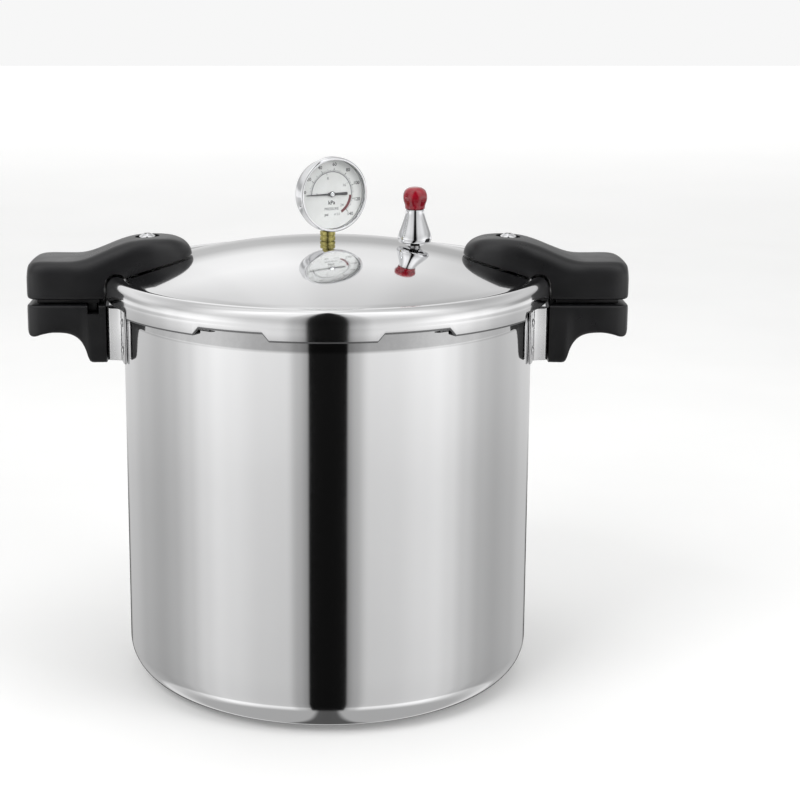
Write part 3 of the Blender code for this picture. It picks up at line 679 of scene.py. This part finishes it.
def chamfered_nut(name, across, low, high, hole, mat, at):
    nut = extrude(name, hexagon(across), low, high, mat, at)
    r = across / math.sqrt(3)
    cone = [(0, high + 1), (r * 0.86, high + 0.4), (r * 1.2, high - r * 0.24), (r * 1.2, low + r * 0.24),
            (r * 0.86, low - 0.4), (0, low - 1)]
    carve(nut, revolve("cutter", cone, None, 64, at), operation="INTERSECT")
    carve(nut, rod(hole, low - 3, high + 3, at))
    return nut


def regulator():
    at = frame_at(REG_X, 0, 0)
    pipe = [(1.6, 358.0), (2.4, 358.0), (3.0, 357.4), (3.6, 356.0), (3.6, 349.0), (4.0, 348.4),
            (4.9, 348.4), (4.9, 338.4), (8.1, 338.4), (8.5, 338.0), (8.5, 336.1), (8.2, 335.8),
            (5.5, 335.8), (5.5, 330.2), (5.1, 329.8), (1.6, 329.8)]
    put(revolve("vent_tube", pipe, STEEL, 48, at, closed=True), "lid", "steel", "vent_pipe")
    put(chamfered_nut("vent_hex", 12.5, 344.3, 347.9, 5.2, CHROME, at), "lid", "chrome", "vent_nut")

    outside = smooth([(6.4, 373.0), (7.0, 372.7), (7.3, 371.6), (7.6, 369.4), (8.6, 365.6),
                      (9.9, 361.6), (11.3, 357.6), (12.6, 353.9), (13.3, 351.2), (13.4, 349.4),
                      (13.0, 347.6), (12.2, 346.8)], 4)
    inside = [(9.6, 346.8), (9.0, 347.4), (9.0, 352.0), (4.2, 354.0), (4.2, 358.8), (2.0, 360.6),
              (2.0, 373.0)]
    put(revolve("regulator_bell", outside + inside, CHROME, 96, at, closed=True),
        "regulator", "chrome", "regulator_weight")

    waist = smooth([(0, 390.6), (2.4, 390.5), (5.4, 389.8), (7.9, 388.0), (9.4, 385.2), (9.9, 382.4),
                    (9.5, 379.8), (8.7, 377.6), (8.1, 375.8), (7.9, 374.2), (7.6, 373.3)], 5)

    def fluted(angle):
        wave = 0.5 + 0.5 * math.cos(math.radians(8 * angle))
        return [(r - 0.55 * wave * max(0.0, 1 - abs(z - 381.5) / 6.5) * (r > 4), z)
                for r, z in waist] + [(0, 373.3)]

    grip = revolve("regulator_grip", fluted, RED, 144, at, sharp=60)
    put(grip, "regulator", "red_knob", "regulator_knob")


# =============================================================================
# Gauge
# =============================================================================
def gauge_frame():
    a = math.radians(GAUGE_TURN)
    front = Vector((math.sin(a), -math.cos(a), 0))
    right = Vector((math.cos(a), math.sin(a), 0))
    return Matrix(((right.x, 0, front.x, 0), (right.y, 0, front.y, 0),
                   (0, 1, 0, GAUGE_Z * MM), (0, 0, 0, 1)))


def gauge_housing(at):
    outer = smooth([(28.1, 6.5), (28.0, 3.0), (27.6, -0.5), (26.8, -3.6), (25.3, -6.4), (22.8, -9.2),
                    (19.6, -11.2), (16.8, -12.0)], 5)
    case = [(0, -10.5), (16.5, -10.5), (19.0, -9.9), (21.6, -8.2), (24.2, -5.0), (25.6, -1.6),
            (26.6, 1.8), (27.3, 4.6), (27.3, 8.4), (27.5, 8.6), (27.9, 8.6), (28.1, 8.3)]
    case += outer + [(10, -12.0), (0, -12.0)]
    body = revolve("gauge_shell", case, CHROME, 96, at)
    carve(body, rod(4.7, 350, 368, Matrix()))
    put(body, "lid", "chrome", "gauge_case")
    ring = rounded([(27.2, 10.9, 0), (27.2, 12.0, 0.4), (28.4, 12.1, 0.9), (29.5, 10.9, 1.0),
                    (29.5, 4.6, 0.4), (28.4, 4.6, 0.1), (28.4, 10.9, 0.1), (27.2, 10.9, 0)])[:-1]
    put(revolve("gauge_ring", ring, CHROME, 128, at, closed=True), "lid", "chrome", "gauge_bezel")
    pane = rounded([(0, 10.75, 0), (20.0, 10.7, 0), (28.1, 10.55, 0.2), (28.1, 9.0, 0.2), (0, 9.0, 0)])
    lens = revolve("gauge_window", pane, GLASS, 96, at)
    lens.visible_shadow = False
    put(lens, "lid", "gauge_glass", "gauge_lens")
    face = rounded([(1.5, 5.2, 0), (1.5, 6.0, 0.1), (26.0, 6.0, 0), (27.0, 6.2, 0.1), (27.0, 5.2, 0.1),
                    (1.5, 5.2, 0)])[:-1]
    put(revolve("dial_plate", face, WHITE, 128, at, closed=True), "lid", "dial_white", "gauge_dial")


class Print:
    """Collects flat marks on the dial and makes them one thin piece."""

    def __init__(self, level):
        self.bm, self.level = bmesh.new(), level

    def shape(self, points):
        face = self.bm.faces.new([self.bm.verts.new((x * MM, y * MM, self.level * MM)) for x, y in points])
        top = bmesh.ops.extrude_face_region(self.bm, geom=[face])["geom"]
        moved = [v for v in top if isinstance(v, bmesh.types.BMVert)]
        bmesh.ops.translate(self.bm, verts=moved, vec=(0, 0, 0.05 * MM))

    def tick(self, angle, r0, r1, width):
        c, s = math.cos(math.radians(angle)), math.sin(math.radians(angle))
        w = width / 2
        self.shape([(r * c - o * s, r * s + o * c) for r, o in ((r0, -w), (r1, -w), (r1, w), (r0, w))])

    def band(self, r0, r1, a0, a1, steps):
        for i in range(steps):
            f, g = a0 + (a1 - a0) * i / steps, a0 + (a1 - a0) * (i + 1) / steps
            self.shape(sector(r0, r1, f, g, 1))

    def text(self, words, x, y, size, bold=0.0):
        curve = bpy.data.curves.new("text", "FONT")
        curve.body, curve.size, curve.offset = words, size * MM, bold * MM
        curve.align_x, curve.align_y = "CENTER", "CENTER"
        curve.extrude, curve.resolution_u = 0.025 * MM, 3
        guide = bpy.data.objects.new("text", curve)
        bpy.context.scene.collection.objects.link(guide)
        graph = bpy.context.evaluated_depsgraph_get()
        mesh = bpy.data.meshes.new_from_object(guide.evaluated_get(graph))
        bpy.data.objects.remove(guide, do_unlink=True)
        mesh.transform(Matrix.Translation((x * MM, y * MM, (self.level + 0.025) * MM)))
        self.bm.from_mesh(mesh)

    def piece(self, name, mat, at, body, slot):
        put(finish_mesh(name, self.bm, mat, at), body, slot)


def dial_print(at):
    """Scale arc, ticks, numerals and units. The scale runs clockwise from nine o'clock."""
    start, sweep, count = 180.0, -225.0, 7
    black, grey, red = Print(6.02), Print(6.01), Print(6.02)
    grey.band(17.2, 17.8, -46, 182, 96)
    for i in range(count * 10 + 1):
        angle = start + sweep * i / (count * 10)
        long = 2.6 if i % 10 == 0 else (2.0 if i % 5 == 0 else 1.3)
        (black if i % 10 == 0 else grey).tick(angle, 17.8, 17.8 + long, 0.42 if i % 10 == 0 else 0.26)
    for i in range(count + 1):
        angle = math.radians(start + sweep * i / count - (6 if i == 0 else 0))
        black.text(str(20 * i), 23.2 * math.cos(angle), 23.2 * math.sin(angle), 3.6, 0.05)
    for i in range(0, 4):
        angle = math.radians(start + sweep * i / 3)
        grey.tick(math.degrees(angle), 15.4, 17.2, 0.3)
        grey.text(str(8 * i), 12.9 * math.cos(angle), 12.9 * math.sin(angle), 3.0, 0.02)
    red.band(15.6, 17.7, -5, -59, 26)
    black.text("kPa", 0.0, -6.7, 4.3, 0.10)
    grey.text("PRESSURE", 0.0, -11.6, 2.9, 0.03)
    black.text("psi", -4.6, -16.0, 3.0, 0.06)
    grey.text("cl 2.5", 4.8, -16.0, 2.4, 0.02)
    black.piece("dial_numbers", INK, at, "lid", "pointer_black")
    grey.piece("dial_scale", GREY_INK, at, "lid", "pointer_black")
    red.piece("dial_red_zone", RED_INK, at, "lid", "red_knob")


def gauge_hand(at):
    outline = [(-22.6, 0.0), (-21.4, -0.28), (-4.0, -0.7), (-2.2, -1.4)]
    outline += arc(0, 0, 2.3, 225, 315, 6) + [(3.2, -0.95), (13.2, -1.15), (13.6, -0.9)]
    outline += [(x, -y) for x, y in reversed(outline[1:])]
    hand = extrude("gauge_hand", outline, 6.7, 7.2, INK, at, bevel=0.12, steps=2)
    dome = rounded([(0, 8.2, 0), (1.5, 8.1, 0.5), (1.9, 7.0, 0.1), (1.9, 6.8, 0), (0, 6.8, 0)])
    cap = revolve("cap", dome, None, 32, at)
    carve(hand, rod(1.1, 0, 6.95, at), cap, operation="DIFFERENCE")
    put(hand, "pointer", "pointer_black", "gauge_pointer")
    boss = revolve("gauge_hand_boss", rounded([(0.95, 6.8, 0), (2.0, 6.9, 0.2), (1.9, 7.9, 0.4),
                                              (1.2, 8.5, 0.4), (0, 8.6, 0), (0, 8.5, 0)]), CHROME, 40, at)
    put(boss, "pointer", "steel")


def gauge_stem():
    profile = rounded([(0, 362.7, 0), (4.3, 362.7, 0.4), (4.3, 355.6, 0), (6.1, 355.6, 0.4),
                       (6.1, 352.6, 0.3), (5.6, 352.1, 0.2), (5.6, 351.5, 0.2), (6.1, 351.0, 0.3),
                       (6.1, 348.2, 0.3), (4.8, 348.2, 0), (4.8, 334.2, 0.4),
                       (4.4, 333.8, 0), (0, 333.8, 0)], 3)
    put(revolve("gauge_socket", profile, BRASS, 64, sharp=40), "lid", "brass", "gauge_stem")
    put(chamfered_nut("gauge_hex", 17.0, 337.2, 342.9, 5.1, BRASS, Matrix()), "lid", "brass", "gauge_nut")


# =============================================================================
# CAD nodes kept as they are, with their own finish
# =============================================================================
def keep_nodes():
    finishes = {"canning_rack": ALUMINIUM_RACK, "lid_boss_L": CAST, "lid_boss_R": CAST,
                "gauge_washer": RUBBER, "movement_plate": BRASS, "sector_gear": BRASS,
                "bourdon_tube": BRASS, "pinion_shaft": STEEL}
    for name, mat in finishes.items():
        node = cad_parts[name]
        if node.material_slots:
            for holder in node.material_slots:
                holder.material = mat
        else:
            node.data.materials.append(mat)


# =============================================================================
# Stage
# =============================================================================
def studio_world():
    """A pale light tent with a dark strip in front. The camera itself sees one even pale tone."""
    world = bpy.data.worlds.new("studio")
    bpy.context.scene.world = world
    world.use_nodes = True
    nodes, links = world.node_tree.nodes, world.node_tree.links
    background = nodes["Background"]

    def node(kind, **props):
        made = nodes.new("ShaderNode" + kind)
        for key, value in props.items():
            setattr(made, key, value)
        return made

    def ramp(source, stops, kind="EASE"):
        made = node("ValToRGB")
        made.color_ramp.interpolation = kind
        items = made.color_ramp.elements
        items.remove(items[1])
        for at, level in sorted(stops):
            item = items.new(at) if at > 0.0 else items[0]
            item.color = (level, level, level, 1.0)
        links.new(source, made.inputs[0])
        return made.outputs[0]

    def calc(operation, a, b):
        made = node("Math", operation=operation)
        for socket, value in zip(made.inputs, (a, b)):
            if isinstance(value, bpy.types.NodeSocket):
                links.new(value, socket)
            else:
                socket.default_value = value
        return made.outputs[0]

    def blend(factor, a, b):
        return calc("ADD", a, calc("MULTIPLY", factor, calc("SUBTRACT", b, a)))

    split = node("SeparateXYZ")
    links.new(node("TexCoord").outputs["Generated"], split.inputs[0])
    x, y, z = split.outputs
    turn = calc("ARCTAN2", x, calc("MULTIPLY", y, -1.0))
    round_front = calc("DIVIDE", calc("ABSOLUTE", turn, 0.0), math.pi)
    side = calc("ADD", calc("DIVIDE", turn, 2 * math.pi), 0.5)
    height = calc("ADD", calc("MULTIPLY", z, 0.5), 0.5)

    def heights(*stops):
        return ramp(height, [(zz * 0.5 + 0.5, level) for zz, level in stops], "LINEAR")

    # Brightness round the tent, from straight in front (0) to straight behind (1), and by height.
    walls = ramp(round_front, [(0.0, 0.006), (0.0555, 0.007), (0.0605, 0.33), (0.086, 0.45), (0.13, 0.69),
                               (0.20, 0.71), (0.30, 0.80), (0.35, 0.83), (0.40, 0.76), (0.46, 0.62),
                               (0.53, 0.49), (0.60, 0.44), (0.70, 0.49), (0.80, 0.57), (1.0, 0.60)])
    tall = heights((-1.0, 0.55), (-0.60, 0.53), (-0.64, 0.84), (-0.70, 0.78), (-0.42, 0.52), (-0.28, 0.62),
                   (-0.23, 0.72), (-0.20, 0.77), (-0.12, 0.74), (0.02, 0.66),
                   (0.30, 0.60), (0.62, 0.74), (0.85, 0.95), (1.0, 1.0))
    front = calc("MULTIPLY", calc("MULTIPLY", walls, tall), 1.39)
    # The ground, which the corner of the base mirrors.
    low = ramp(calc("ABSOLUTE", x, 0.0), [(0.0, 0.075), (0.06, 0.08), (0.105, 0.36), (1.0, 0.38)])
    front = blend(heights((-1.0, 1.0), (-0.80, 1.0), (-0.70, 0.0), (1.0, 0.0)), front, low)
    # Brighter flanks near the horizon, which the skirt mirrors and the wall doesn't.
    sides = ramp(round_front, [(0.0, 0.95), (0.15, 0.97), (0.22, 1.04), (0.30, 1.2), (0.41, 1.4),
                               (0.5, 1.7), (0.75, 1.7), (0.9, 1.0), (1.0, 1.0)], "LINEAR")
    lifted = heights((-1.0, 0.0), (-0.17, 0.0), (-0.13, 1.0), (0.10, 1.0), (0.30, 0.0), (1.0, 0.0))
    front = calc("MULTIPLY", front, blend(lifted, 1.0, sides))
    # Dark ground far behind, for the lowest edge of the base.
    dark_foot = calc("MULTIPLY", ramp(round_front, [(0.0, 0.0), (0.87, 0.0), (0.93, 1.0)]),
                     heights((-1.0, 0.0), (-0.66, 0.0), (-0.62, 1.0), (-0.30, 1.0),
                             (-0.25, 0.0), (1.0, 0.0)))
    front = blend(dark_foot, front, 0.03)
    # The rear, which the dome mirrors, duller on the right.
    back = heights((-1.0, 0.44), (0.0, 0.44), (0.16, 0.47), (0.28, 0.80), (0.44, 0.88), (0.60, 0.74),
                   (0.76, 0.62), (0.86, 0.80), (1.0, 1.0))
    uneven = ramp(side, [(0.0, 0.95), (0.0136, 1.06), (0.025, 1.05), (0.034, 0.97), (0.047, 0.86),
                         (0.15, 0.86), (0.30, 1.0), (0.70, 1.0), (0.82, 0.68), (0.94, 0.66),
                         (0.955, 0.70), (0.967, 0.76), (0.985, 0.93), (1.0, 0.95)])
    back = calc("MULTIPLY", back, uneven)
    behind = calc("MULTIPLY", ramp(round_front, [(0.0, 0.0), (0.45, 0.0), (0.66, 1.0)]),
                  heights((-1.0, 0.0), (-0.02, 0.0), (0.06, 1.0), (1.0, 1.0)))
    whole = calc("MULTIPLY", blend(behind, front, back), 1.15)
    seen = node("Mix", data_type="RGBA")
    links.new(node("LightPath").outputs["Is Camera Ray"], seen.inputs[0])
    links.new(whole, seen.inputs[6])
    seen.inputs[7].default_value = (0.93, 0.93, 0.93, 1.0)
    links.new(seen.outputs[2], background.inputs["Color"])


def stage():
    bm = bmesh.new()
    bmesh.ops.create_grid(bm, x_segments=8, y_segments=8, size=9.0)
    bmesh.ops.translate(bm, verts=bm.verts, vec=(0, 0, -0.0006))
    t = Tree("pale_floor")
    t.set(Base_Color=t.mix(t.scaled(t.noise(3.0), 0.0, 1.0), (0.80, 0.80, 0.795), (0.83, 0.83, 0.825)),
          Roughness=0.75)
    # Painted light: the floor glows, more the further back it lies, so that it fades into the pale
    # backdrop.
    far = t.add("SeparateXYZ", Vector=t.spot()).outputs[1]
    t.set(Emission_Color=(0.93, 0.93, 0.93, 1.0), Emission_Strength=t.scaled(far, 0.0, 0.55, 0.5, 6.0))
    floor = finish_mesh("floor", bm, t.mat)
    floor.visible_glossy = False

    def lamp(name, at, to, size, power):
        data = bpy.data.lights.new(name, "AREA")
        data.shape, data.size, data.size_y, data.energy = "RECTANGLE", size[0], size[1], power
        ob = bpy.data.objects.new(name, data)
        bpy.context.scene.collection.objects.link(ob)
        ob.location = at
        ob.rotation_euler = (Vector(to) - Vector(at)).to_track_quat("-Z", "Y").to_euler()
        ob.visible_glossy = False

    lamp("key", (-1.2, -1.3, 2.0), (0, 0, 0.25), (1.2, 1.2), 26.0)
    lamp("top", (0.2, 0.1, 2.3), (0, 0, 0.3), (1.8, 1.4), 16.0)
    lamp("fill", (1.6, -1.0, 1.5), (0, 0, 0.25), (1.0, 1.2), 12.0)

    data = bpy.data.cameras.new("camera")
    data.sensor_width, data.lens = 36.0, 78.93
    data.shift_x, data.shift_y = 0.0904, -0.0829
    camera = bpy.data.objects.new("camera", data)
    bpy.context.scene.collection.objects.link(camera)
    camera.location = (0.0, -1.377, 0.559)
    camera.rotation_euler = (math.radians(90 - 11.76), 0, 0)
    bpy.context.scene.camera = camera
    bpy.context.scene.view_settings.view_transform = "Standard"


pot()
brackets()
pot_grips()
lid()
lid_grips()
regulator()
GAUGE_AT = gauge_frame()
gauge_housing(GAUGE_AT)
dial_print(GAUGE_AT)
gauge_hand(GAUGE_AT)
gauge_stem()
keep_nodes()
studio_world()
stage()
